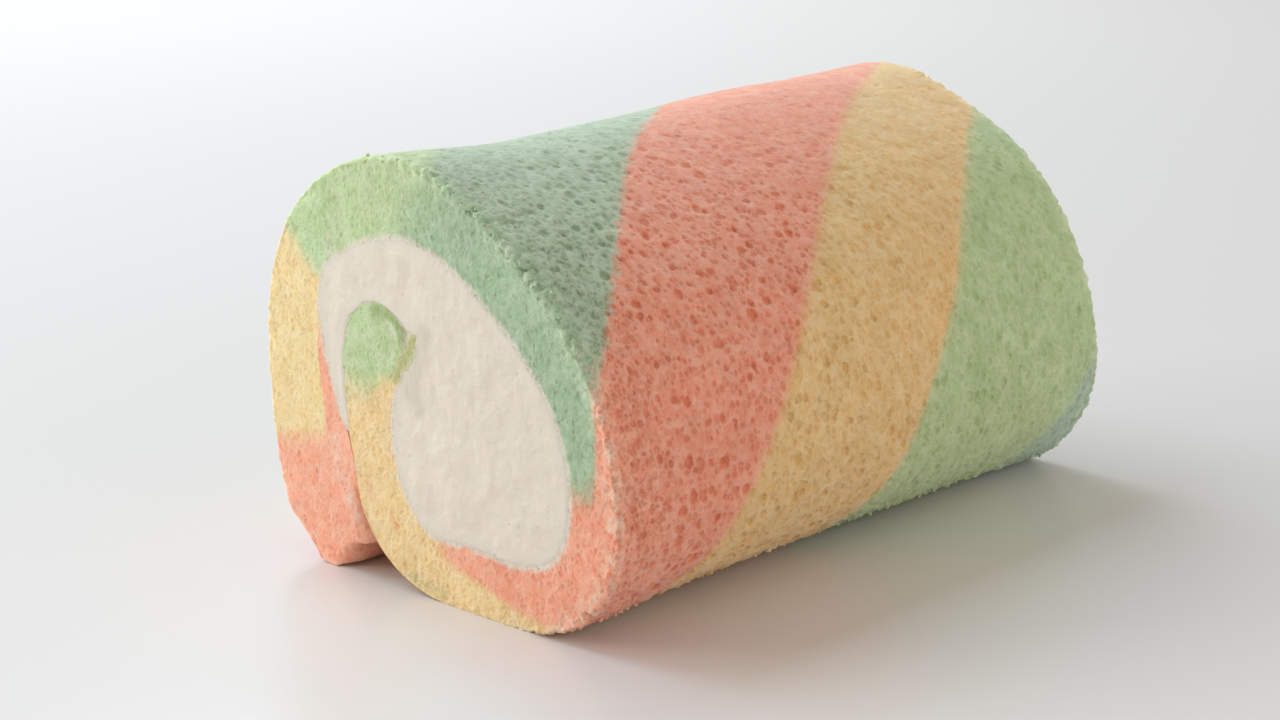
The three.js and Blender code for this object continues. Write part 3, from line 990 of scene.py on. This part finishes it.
def make_cream(material):
    length = ROLL_LENGTH - 2 * CREAM_TUCK
    y = graded(length, ROLL_LENGTH / HIDDEN_ROWS, *HIDDEN_EDGE) + CREAM_TUCK
    lines = cream_outline(y)
    rings = settle(lines[..., 0], lines[..., 1], y[None] + 0 * lines[..., 0])
    around, stations = rings.shape[:2]
    points = [rings.transpose(1, 0, 2).reshape(-1, 3)]
    free = [np.zeros(len(points[0]))]
    faces = tube_faces(stations, around)[:-2]
    count = around * stations
    for station, inward in ((0, 1), (stations - 1, -1)):
        ring = rings[:, station]
        seed = CREAM_SEED + station
        flat, triangles, gap = fill_outline(ring[:, [0, 2]], CREAM_STEP, seed)
        back = CREAM_TUCK - (CREAM_TUCK + CREAM_BULGE) * ease(gap, 0, TUCK_WIDTH)
        y_face = ring[0, 1] + (back - CREAM_TUCK) * inward
        own = np.column_stack([flat[:, 0], y_face, flat[:, 1]])
        points.append(own)
        free.append(ease(gap, *CREAM_FREE))
        faces += [[count + i for i in triangle[::inward]] for triangle in triangles]
        count += len(own)
    points = np.concatenate(points)
    # painted shade on the cream beside the curl's flap
    shade = near_strokes(points, SHADE)
    free = np.concatenate(free)
    piece = new_piece("whipped_cream", points, faces, place=points, shade=shade, free=free)
    weld = piece.modifiers.new("weld", "WELD")
    weld.merge_threshold = TINY
    shape_by(piece, ripple)
    take_shape(piece)
    piece.data.materials.append(material)
    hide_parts("cream")
    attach(piece, "root")
    return piece


# ---- loose crumbs ----
CRUMB_SEED = 11
EDGE_CRUMBS = (40, 0.16, 0.42)  # on the near cut's edge: how many, least and most radius
FOOT_CRUMBS = (120, 0.14, 0.36)  # low on the right, where the skin turns in to the plate
CRUMB_AT = [(-14.8, -69.2, 80.0, 0.5), (28.5, -41.0, 0.8, 0.7)]  # two more: place, radius
EDGE_RIDGE, EDGE_BAND, EDGE_ABOVE, EDGE_RIGHT_OF = 0.55, 1.2, 5, -20
FOOT_HEIGHT, FOOT_BAND, FOOT_RIGHT_OF, FOOT_BEHIND = 3.7, 1.0, 31, 1
SORTING_DIGITS = 2
CRUMB_STANDS_OUT = 0.3  # of its radius
CRUMB_RIDGE = 0.5  # crumbs are as pale as a half frayed edge
DENTS, DENT_DEPTH, DENT_SHARPNESS = 5, 0.28, 3
LUMP_SIZES = (0.7, 1.1)  # least and most each way


def lump(radius, draw):
    """Points and faces of one small irregular crumb about the origin."""
    body = bmesh.new()
    bmesh.ops.create_icosphere(body, subdivisions=2, radius=radius)
    points = np.array([tuple(v.co) for v in body.verts])
    faces = [[v.index for v in face.verts] for face in body.faces]
    body.free()
    ways = draw.normal(size=(DENTS, 3))
    for way in ways / np.linalg.norm(ways, axis=1)[:, None]:
        points *= (1 + DENT_DEPTH * np.tanh(DENT_SHARPNESS * points @ way / radius))[:, None]
    return points * draw.uniform(*LUMP_SIZES, 3), faces


def crumb_places(places, ridge, draw):
    """Points of the sponge that a crumb clings to, each with the crumb's radius."""
    x, y, z = places.T
    on_edge = (ridge > EDGE_RIDGE) & (y < LOW[1] + EDGE_BAND)
    on_edge = on_edge & (z > EDGE_ABOVE) & (x > EDGE_RIGHT_OF)
    by_plate = (np.abs(z - FOOT_HEIGHT) < FOOT_BAND) & (x > FOOT_RIGHT_OF)
    by_plate = by_plate & (y > LOW[1] + FOOT_BEHIND)
    chosen = []
    for fit, (wanted, least, most) in ((on_edge, EDGE_CRUMBS), (by_plate, FOOT_CRUMBS)):
        at = np.flatnonzero(fit)
        order = at[np.lexsort(np.round(places[at].T, SORTING_DIGITS))]
        chosen += [(i, draw.uniform(least, most)) for i in draw.choice(order, wanted)]
    for *spot, radius in CRUMB_AT:
        away = np.linalg.norm(places - np.array(spot), axis=1)
        chosen.append((int(np.argmin(away)), radius))
    return chosen


def make_crumbs(sponge_piece, material):
    """Loose crumbs, coloured like the sponge below each."""
    mesh = sponge_piece.data
    band, ridge = (read(mesh.attributes[field].data, "value") for field in ("band", "ridge"))
    places = read(mesh.vertices, "co", 3).reshape(-1, 3) / MM
    draw = np.random.default_rng(CRUMB_SEED)
    points, faces, bands_at = [], [], []
    for i, radius in crumb_places(places, ridge, draw):
        own, own_faces = lump(radius, draw)
        start = len(bands_at)
        out = np.array(mesh.vertices[int(i)].normal)
        points.append(own + places[i] + out * radius * CRUMB_STANDS_OUT)
        faces += [[start + j for j in face] for face in own_faces]
        bands_at += [band[i]] * len(own)
    points = np.concatenate(points)
    none = np.zeros(len(points))
    fields = dict.fromkeys((*SPONGE_FIELDS, *MARKS), none)
    fields.update(band=np.array(bands_at), ridge=none + CRUMB_RIDGE)
    piece = new_piece("crumbs", points, faces, place=points, **fields)
    piece.data.shade_smooth()
    rest_on_plate(piece)
    piece.data.materials.append(material)
    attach(piece, "root")


# ---- stage, light and camera, in metres ----
CAMERA_PLACE = (0.31484, -0.33935, 0.15555)
CAMERA_TURNS = ((44.30, "Z"), (74.91, "X"), (-1.31, "Z"))  # degrees, each about its own axis
FOCAL_PIXELS, FRAME_WIDTH = 2450, 1280
SENSOR = 36.0  # millimetres
CLIP = (0.01, 20)
FLOOR_HALF = 3000  # half the floor's side, in millimetres
FLOOR_COLOUR, FLOOR_ROUGHNESS = (0.77, 0.73, 0.72, 1), 0.25
SKY_COLOUR, SKY_STRENGTH = (1.0, 0.98, 0.89, 1), 0.42
CAKE_MIDDLE = (0, 0, 0.04)

# soft square lamps: name, place, side, watts, colour and what it points at
LAMPS = [
    ("window", (-1.20, -0.08, 1.20), 1.3, 25.0, (0.70, 0.85, 1.0), CAKE_MIDDLE),
    ("fill", (-0.85, -0.80, 0.32), 0.6, 6.5, (1.0, 0.96, 0.87), CAKE_MIDDLE),
    ("low panel", (0.95, 0.0, 0.34), 0.6, 1.95, (1.0, 0.92, 0.91), CAKE_MIDDLE),
    ("back left", (-0.85, 0.60, 0.7), 0.5, 3.8, (0.93, 0.97, 1.0), (-0.85, 0.6, 0)),
    ("back right", (0.95, 1.55, 0.5), 0.8, 3.5, (0.97, 0.97, 1.0), CAKE_MIDDLE),
]


def make_camera():
    yaw, tilt, roll = (Matrix.Rotation(math.radians(a), 4, axis) for a, axis in CAMERA_TURNS)
    data = bpy.data.cameras.new("camera")
    data.sensor_width = SENSOR
    data.lens = SENSOR * FOCAL_PIXELS / FRAME_WIDTH
    data.clip_start, data.clip_end = CLIP
    camera = bpy.data.objects.new("camera", data)
    camera.matrix_world = Matrix.Translation(CAMERA_PLACE) @ yaw @ tilt @ roll
    bpy.context.scene.collection.objects.link(camera)
    bpy.context.scene.camera = camera


def make_lamp(name, place, size, power, colour, aim):
    data = bpy.data.lights.new(name, "AREA")
    data.shape = "SQUARE"
    data.size = size
    data.energy = power
    data.color = colour
    lamp = bpy.data.objects.new(name, data)
    way = np.array(aim) - np.array(place)
    lamp.rotation_mode = "QUATERNION"
    lamp.rotation_quaternion = Vector(way).to_track_quat("-Z", "Y")
    lamp.location = place
    bpy.context.scene.collection.objects.link(lamp)


def make_stage():
    """The floor, the even light of the room and the lamps."""
    half = FLOOR_HALF
    corners = [(-half, -half, 0), (half, -half, 0), (half, half, 0), (-half, half, 0)]
    floor = new_piece("floor", corners, [[0, 1, 2, 3]])
    material, _t, shader = new_material("pale floor", Roughness=FLOOR_ROUGHNESS)
    shader.inputs["Base Color"].default_value = FLOOR_COLOUR
    floor.data.materials.append(material)
    world = bpy.data.worlds.new("studio")
    world.use_nodes = True
    back = world.node_tree.nodes["Background"]
    back.inputs["Color"].default_value = SKY_COLOUR
    back.inputs["Strength"].default_value = SKY_STRENGTH
    bpy.context.scene.world = world
    for lamp in LAMPS:
        make_lamp(*lamp)
    bpy.context.scene.view_settings.view_transform = "Standard"


sponge = sponge_material()
make_crumbs(make_sponge(sponge), sponge)
make_cream(cream_material())
make_stage()
make_camera()
